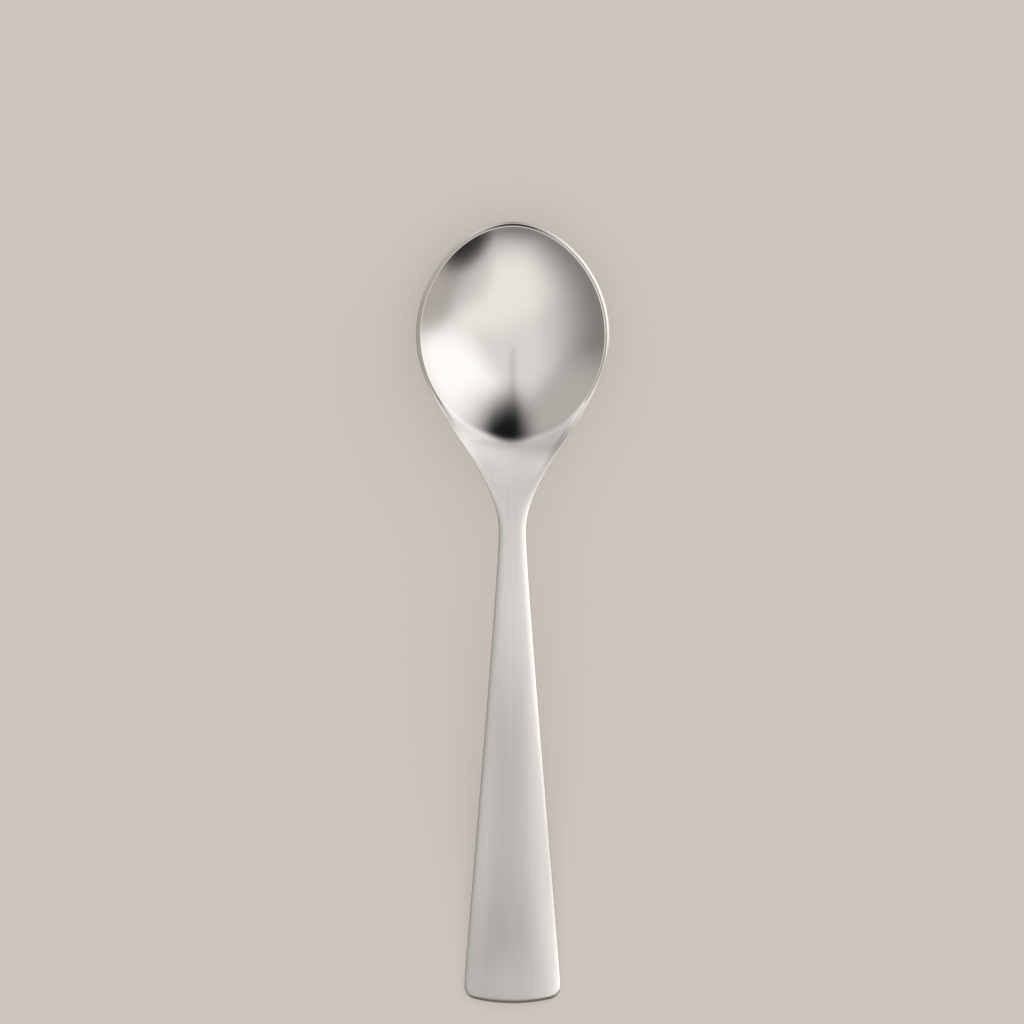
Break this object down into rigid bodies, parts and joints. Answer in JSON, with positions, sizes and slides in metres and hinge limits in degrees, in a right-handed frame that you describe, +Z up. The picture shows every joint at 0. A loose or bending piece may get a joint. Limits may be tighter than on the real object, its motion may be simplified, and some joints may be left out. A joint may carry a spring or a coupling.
{
  "type": "dinner spoon",
  "caption": "Solid steel dinner spoon with a broad rounded bowl, a softly rounded heel, a slim neck and a flat handle that flares to a softly squared end.",
  "frame": {"origin": "on the table, in the middle of the footprint of the spoon lying bowl up", "axes": "+Y along the spoon towards the tip of the bowl, +X to the right seen from above, +Z up out of the bowl"},
  "size_m": [0.047, 0.19, 0.0163],
  "materials": {
    "satin_steel": "satin, brushed along the spoon on the handle, neck and shoulder, with the hollow of the bowl polished"
  },
  "bodies": {
    "root": {"spoon": "satin_steel"}
  },
  "joints": []
}
